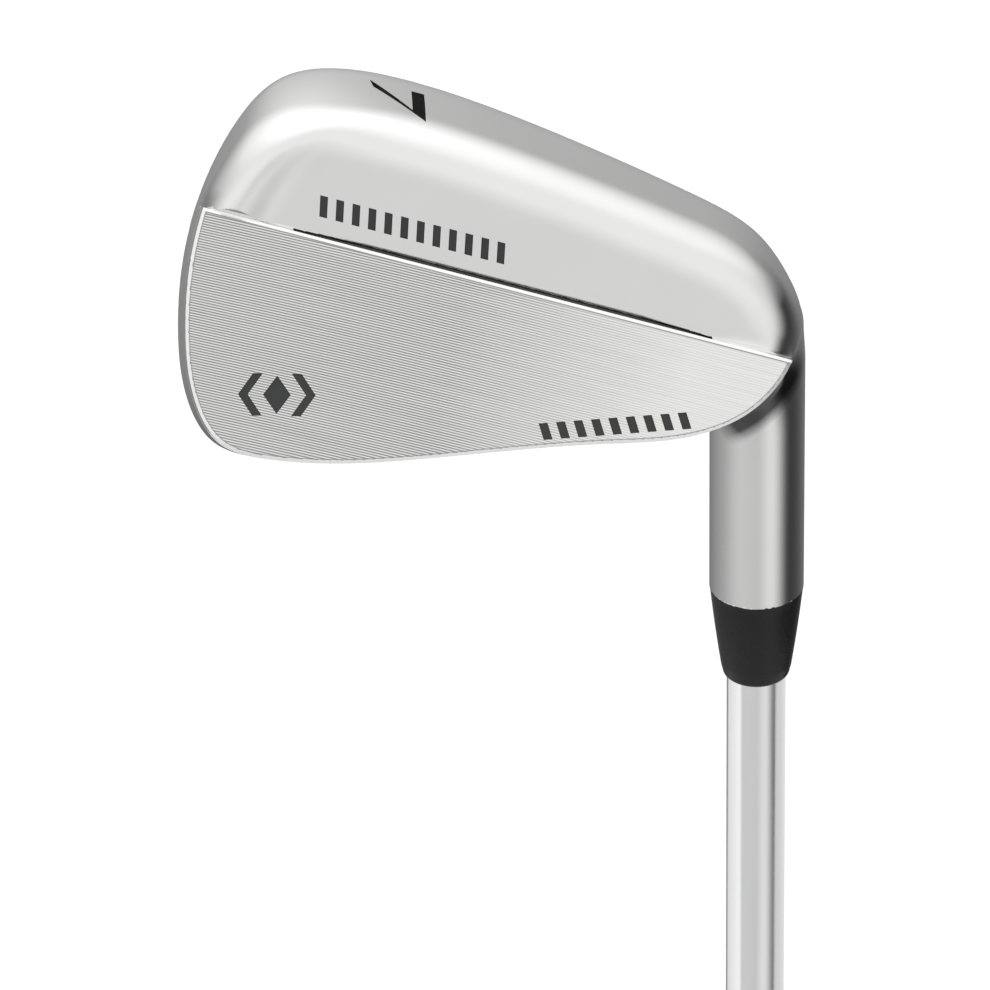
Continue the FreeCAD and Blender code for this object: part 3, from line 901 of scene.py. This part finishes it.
def printed_film():
    """Dark shaft film with three plain pale rings."""
    material, tree, where = begin("printed_film")
    z = add(tree, "ShaderNodeSeparateXYZ", {0: where}).outputs["Z"]
    grain = noise(tree, where, 1500.0, 2.0)
    rings = None
    for centre, half in ((0.336, 0.0012), (0.414, 0.0012), (0.375, 0.010)):
        away = math_node(tree, "ABSOLUTE", math_node(tree, "SUBTRACT", z, centre))
        ring = math_node(tree, "LESS_THAN", away, half)
        rings = ring if rings is None else math_node(tree, "MAXIMUM", rings, ring)
    film = mixed(tree, grain, (0.045, 0.045, 0.05), (0.075, 0.075, 0.08))
    pale = mixed(tree, grain, (0.50, 0.50, 0.51), (0.60, 0.60, 0.61))
    dress(tree, mixed(tree, rings, film, pale), ranged(tree, grain, 0.3, 0.7, 0.28, 0.36),
          grain, 0.15, 0.00002)
    return material


# ------------------------------------------------------------------ the pieces


def finish_piece(piece, materials, nodes):
    for material in materials:
        piece.data.materials.append(material)
    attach(piece, "root")
    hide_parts(*nodes)
    return piece


def build_head(steel, milled, shadowed):
    """The head, cut with its scorelines and marks.  Gives back the paints."""
    axes = [spaced(-44.0, 84.0, 0.44),
            spaced(-34.0, 48.0, 0.42, [(-1.2, 0.72, 0.12)]),
            spaced(-36.0, 17.0, 0.48, [(4.0, 6.4, 0.16)])]
    points, quads = contour(axes)
    head = fast_mesh("club_head", to_row(points), quads)
    paints = []
    cutters = [score_cutters()]
    for name, outlines, direction, depth in mark_outlines():
        fills = []
        for outline in outlines:
            spots, faces = patch(outline, direction)
            cutters.append(slab(spots, faces, direction, -depth, 1.2))
            fills.append(slab(spots, faces, direction, -depth - 0.05, FILL - depth))
        vertices, faces = join_parts(fills)
        paints.append((name, mesh_object(name + "_fill", to_row(vertices), faces)))
    cut(head, *join_parts(cutters))
    finish_piece(head, [steel, milled, shadowed], ["head"])
    shade_head(head)
    return paints


def lathe(name, profile, segments=96, wave=None):
    """Closed surface of revolution about Z from (radius, z) in mm.  wave
    gives a radius offset for each profile row and angle."""
    angle = 2 * math.pi * np.arange(segments) / segments
    profile = np.array(profile, float)
    rows = len(profile)
    radius = profile[:, :1] + np.zeros((rows, segments))
    if wave is not None:
        radius = radius + wave(profile, angle)
    x = radius * np.cos(angle)
    y = radius * np.sin(angle)
    z = profile[:, 1:] + np.zeros((rows, segments))
    vertices = np.stack([x, y, z], -1).reshape(-1, 3) * MM
    faces = []
    for i in range(rows):
        j = (i + 1) % rows
        for k in range(segments):
            m = (k + 1) % segments
            faces.append((i * segments + k, i * segments + m, j * segments + m, j * segments + k))
    piece = mesh_object(name, vertices, faces)
    face_outward(piece.data)
    piece.data.polygons.foreach_set("use_smooth", np.ones(len(faces), bool))
    piece.data.set_sharp_from_angle(angle=math.radians(32))
    return piece


TIP_R = 4.32
BUTT_R = 7.62
WALL = 0.45
INSERT = 32.0
HOSEL_END = CLUB_LENGTH - HOSEL_HEIGHT
TIP_Z = HOSEL_END + INSERT
STEPS = 11
FIRST_STEP = 285.0
STEP_PITCH = 44.5
FERRULE_LENGTH = 15.2
STEP_RUN = 1.2
BAND = (330.0, 420.0)
CAP_THICK = 4.0


def shaft_profile():
    """Outside of the stepped shaft as (radius, z), butt first."""
    step = (BUTT_R - TIP_R) / STEPS
    points = [(TIP_R, TIP_Z)]
    radius = TIP_R
    for i in range(STEPS):
        z = TIP_Z - FIRST_STEP - i * STEP_PITCH
        for share in (0.0, 0.25, 0.5, 0.75, 1.0):
            soft = share * share * (3 - 2 * share)
            points.append((radius + step * soft, z - STEP_RUN * share))
        radius += step
    points.append((radius, CAP_THICK))
    return points[::-1]


def shaft_radius(z):
    """Outside radius of the bare shaft at a height."""
    profile = np.array(shaft_profile())
    return float(np.interp(z, profile[:, 1], profile[:, 0]))


def build_shaft(material):
    outside = shaft_profile()
    inside = [(r - WALL, z) for r, z in outside]
    return finish_piece(lathe("stepped_shaft", outside + inside[::-1]),
                        [material], ["shaft"])


def build_ferrule(material):
    low = HOSEL_END - FERRULE_LENGTH
    big, small = HOSEL_R - 0.05, 4.95
    profile = [(TIP_R + 0.01, HOSEL_END - 0.02), (big - 0.12, HOSEL_END - 0.02),
               (big, HOSEL_END - 0.2)]
    for share in np.linspace(0.05, 0.9, 14):
        bulge = 0.10 * math.sin(math.pi * share)
        profile.append((big + (small - big) * share + bulge, HOSEL_END - FERRULE_LENGTH * share))
    for turn in np.linspace(0, math.pi / 2, 7):
        profile.append((small - 0.62 * (1 - math.cos(turn)), low + 0.62 * (1 - math.sin(turn))))
    profile.append((TIP_R + 0.01, low))
    return finish_piece(lathe("tapered_ferrule", profile, 112),
                        [material], ["ferrule"])


GRIP_STATIONS = [(0.0, 13.0), (12.0, 13.3), (51.0, 11.5), (110.0, 10.6),
                 (203.0, 9.5), (262.0, 8.9)]
GRIP_TOP = 267.0
GRIP_MOUTH = 8.9
RIB_ZONES = ((18, 92), (98, 172), (178, 244))
RIB_PITCH = 4.4
RIB_DEPTH = 0.34
RIB_FOLD = 7.0
GRIP_RINGS = (15.0, 95.0, 175.0, 247.0)


def grip_outside(z):
    stations = np.array(GRIP_STATIONS)
    return np.interp(z, stations[:, 0], stations[:, 1])


def grip_wave(profile, angle):
    """Shallow moulded pattern: chevron ribs between plain bands."""
    z = profile[:, 1:]
    ribs = np.zeros((len(profile), len(angle)))
    outside = profile[:, :1] > 8.7
    for low, high in RIB_ZONES:
        inside = ease(z, low, low + 3.0) * (1 - ease(z, high - 3.0, high))
        fold = np.abs(((angle * 6 / math.pi) % 2) - 1)
        phase = (z + RIB_FOLD * fold) * 2 * math.pi / RIB_PITCH
        ribs = ribs - inside * RIB_DEPTH * (0.5 - 0.5 * np.cos(phase)) ** 2
    for centre in GRIP_RINGS:
        ribs = ribs - 0.4 * np.exp(-((z - centre) / 0.9) ** 2)
    return np.where(outside, ribs, 0.0)


def build_grip(material):
    profile = [(grip_outside(CAP_THICK), CAP_THICK)]
    for z in np.arange(4.5, 262.0, 0.55):
        profile.append((float(grip_outside(z)), float(z)))
    for turn in np.linspace(0, math.pi / 2, 6):
        profile.append((GRIP_MOUTH - 1.6 * (1 - math.cos(turn)), 263.0 + 4.0 * math.sin(turn)))
    for z in (GRIP_TOP, 200.0, 100.0, CAP_THICK):
        profile.append((shaft_radius(z) + 0.3, z))
    return finish_piece(lathe("moulded_grip", profile, 120, grip_wave),
                        [material], ["grip_sleeve"])


def build_cap(material):
    r, thick, soft = 13.4, CAP_THICK, 1.8
    profile = [(1.3, 0.35), (1.45, 0.08), (1.7, 0.0), (4.6, 0.0), (4.75, 0.06), (4.85, 0.35),
               (5.35, 0.35), (5.45, 0.06), (5.6, 0.0), (9.0, 0.0), (9.12, 0.06), (9.2, 0.3),
               (9.6, 0.3), (9.68, 0.06), (9.8, 0.0)]
    for turn in np.linspace(0, math.pi / 2, 10):
        profile.append((r - soft + soft * math.sin(turn), soft - soft * math.cos(turn)))
    profile += [(r, thick - 0.25), (r - 0.08, thick - 0.06), (r - 0.3, thick), (1.3, thick)]
    return finish_piece(lathe("grip_end_cap", profile), [material], ["grip_cap"])


def build_band(material):
    low, high = BAND
    z = np.linspace(low, high, 60)
    marks = sorted(set(z.tolist()) | {p[1] for p in shaft_profile() if low < p[1] < high})
    inner = [(shaft_radius(s) + 0.004, s) for s in marks]
    outer = [(shaft_radius(s) + 0.06, s) for s in marks]
    return finish_piece(lathe("shaft_film", outer + inner[::-1]), [material],
                        ["shaft_band"])


def keep_node(name, material):
    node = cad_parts[name]
    node.data.materials.clear()
    node.data.materials.append(material)


# ------------------------------------------------------- camera, floor, lights


# The camera's turn round the club, its look down, its roll and its distance.
# The width is what it sees at that distance, and the hosel's end lies right
# of the middle of the view and below it.  Metres.
VIEW_TURN = math.radians(1.6)
VIEW_DROP = math.radians(32.9)
VIEW_ROLL = math.radians(-0.7)
VIEW_DISTANCE = 1.5
VIEW_WIDTH = 0.1445255
HOSEL_RIGHT = 0.0381752
HOSEL_BELOW = 0.0129197


def set_camera():
    """Camera where the photograph's stood."""
    lens = bpy.data.cameras.new("camera")
    lens.sensor_width = 36
    lens.lens = lens.sensor_width * VIEW_DISTANCE / VIEW_WIDTH
    lens.clip_end = 100
    turn = (Matrix.Rotation(VIEW_TURN, 4, "Z") @ Matrix.Rotation(math.pi / 2 - VIEW_DROP, 4, "X")
            @ Matrix.Rotation(VIEW_ROLL, 4, "Z"))
    away = turn @ Vector((-HOSEL_RIGHT, HOSEL_BELOW, VIEW_DISTANCE))
    camera = bpy.data.objects.new("camera", lens)
    camera.matrix_world = Matrix.Translation(Vector((0, 0, HOSEL_END * MM)) + away) @ turn
    bpy.context.scene.collection.objects.link(camera)
    bpy.context.scene.camera = camera


FLOOR_R = 0.85
FLOOR_SIDES = 128


def set_floor():
    """Round pale floor just under the grip's end."""
    material, tree, where = begin("pale_floor")
    cloud = noise(tree, where, 3.0, 2.0)
    shader = tree.nodes["Principled BSDF"]
    tree.links.new(mixed(tree, cloud, (0.84, 0.84, 0.84), (0.88, 0.88, 0.88)),
                   shader.inputs["Base Color"])
    shader.inputs["Roughness"].default_value = 0.9
    angle = 2 * math.pi * np.arange(FLOOR_SIDES) / FLOOR_SIDES
    ring = [(FLOOR_R * math.cos(a), FLOOR_R * math.sin(a), -0.0002) for a in angle]
    floor = mesh_object("floor", ring, [tuple(range(FLOOR_SIDES))])
    floor.data.materials.append(material)


# Plain studio levels: (elevation, [(compass angle, level)]) in
# degrees.  Angle 0 is out of the head's back, negative by the toe side.
STUDIO = [
    (-45, [(-180, 0.10), (-60, 0.60), (0, 0.50), (35, 0.80), (80, 0.05)]),
    (0, [(-180, 0.50), (-90, 0.20), (-30, 1.00), (40, 1.00), (90, 0.05)]),
    (30, [(-180, 0.70), (-90, 1.00), (60, 1.00), (120, 0.40)]),
    (60, [(-180, 1.30), (0, 1.30)]),
]


def level_ring(tree, share, ring):
    """Grey light level round one ring of the studio."""
    ramp = add(tree, "ShaderNodeValToRGB", {0: share})
    ramp.color_ramp.interpolation = "EASE"
    stops = ramp.color_ramp.elements
    while len(stops) > 1:
        stops.remove(stops[-1])
    for i, (degrees, level) in enumerate(ring + [(180, ring[0][1])]):
        spot = (degrees + 180) / 360
        stop = stops[0] if i == 0 else stops.new(spot)
        stop.position = spot
        stop.color = (level, level, level, 1)
    return ramp.outputs["Color"]


def set_world():
    """Studio levels for reflections and shading, and white for the camera."""
    world = bpy.data.worlds.new("studio")
    bpy.context.scene.world = world
    world.use_nodes = True
    tree = world.node_tree
    glow = tree.nodes["Background"]
    out = tree.nodes["World Output"]
    where = add(tree, "ShaderNodeTexCoord").outputs["Generated"]
    x, y, z = add(tree, "ShaderNodeSeparateXYZ", {0: where}).outputs
    compass = math_node(tree, "ARCTAN2", x, math_node(tree, "MULTIPLY", y, -1.0))
    share = ranged(tree, compass, -math.pi, math.pi, 0.0, 1.0)
    height = math_node(tree, "ARCSINE", z)
    colour = level_ring(tree, share, STUDIO[0][1])
    for (low, _), (high, ring) in zip(STUDIO, STUDIO[1:]):
        rise = ranged(tree, height, math.radians(low), math.radians(high), 0.0, 1.0)
        colour = mixed(tree, rise, colour, level_ring(tree, share, ring))
    tree.links.new(colour, glow.inputs["Color"])
    white = add(tree, "ShaderNodeBackground", {"Color": (1, 1, 1, 1), "Strength": 1.05})
    path = add(tree, "ShaderNodeLightPath")
    pick = add(tree, "ShaderNodeMixShader", {0: path.outputs["Is Camera Ray"]})
    tree.links.new(glow.outputs[0], pick.inputs[1])
    tree.links.new(white.outputs[0], pick.inputs[2])
    tree.links.new(pick.outputs[0], out.inputs["Surface"])
    bpy.context.scene.view_settings.view_transform = "Standard"


# Strip lights: name, compass angle in degrees, width in metres, power.
STRIPS = [("left_strip", -100, 1.6, 6.0), ("right_strip", 124, 1.7, 8.0)]
STRIP_HEIGHT = 2.2
STRIP_AIM = Vector((0.0, 0.0, 0.82))
STRIP_DISTANCE = 1.2
STRIP_DROP = math.radians(-33)


def set_strips(shaft):
    """Two tall soft lights that brighten the two sides of the shaft only."""
    lit = bpy.data.collections.new("shaft_only")
    lit.objects.link(shaft)
    for name, degrees, width, power in STRIPS:
        glow = bpy.data.lights.new(name, "AREA")
        glow.shape = "RECTANGLE"
        glow.size = width
        glow.size_y = STRIP_HEIGHT
        glow.energy = power
        strip = bpy.data.objects.new(name, glow)
        turn = math.radians(degrees)
        reach = math.cos(STRIP_DROP)
        away = Vector((reach * math.sin(turn), -reach * math.cos(turn), math.sin(STRIP_DROP)))
        strip.location = STRIP_AIM + away * STRIP_DISTANCE
        strip.rotation_euler = away.to_track_quat("Z", "Y").to_euler()
        strip.visible_camera = False
        strip.light_linking.receiver_collection = lit
        bpy.context.scene.collection.objects.link(strip)


def main():
    set_camera()
    set_floor()
    set_world()
    steel = satin_steel()
    rubber = moulded("grip_rubber", (0.018, 0.018, 0.019), (0.032, 0.032, 0.033), 0.62)
    black = moulded("mark_black", (0.004, 0.004, 0.004), (0.010, 0.010, 0.010), 0.45, 2500.0,
                    shine=0.05)
    grey = moulded("mark_grey", (0.026, 0.027, 0.028), (0.046, 0.047, 0.048), 0.42, 2500.0,
                   shine=0.3)
    for name, piece in build_head(steel, milled_steel(), groove_steel()):
        slot, paint = ("paint_black", black) if name == "number" else ("paint_grey", grey)
        finish_piece(piece, [paint], [name + "_paint"])
    build_ferrule(moulded("ferrule_black", (0.006, 0.006, 0.007), (0.011, 0.011, 0.012),
                          0.24, 1800.0, 0.00002, 0.08, shine=0.22))
    shaft = build_shaft(plating())
    set_strips(shaft)
    build_grip(rubber)
    build_cap(moulded("cap_rubber", (0.016, 0.016, 0.017), (0.028, 0.028, 0.029), 0.5))
    build_band(printed_film())
    keep_node("tip_weight", turned_brass())
    keep_node("hosel_epoxy", moulded("cured_epoxy", (0.48, 0.43, 0.30), (0.60, 0.55, 0.42), 0.4))
    keep_node("grip_tape", woven_tape())


main()
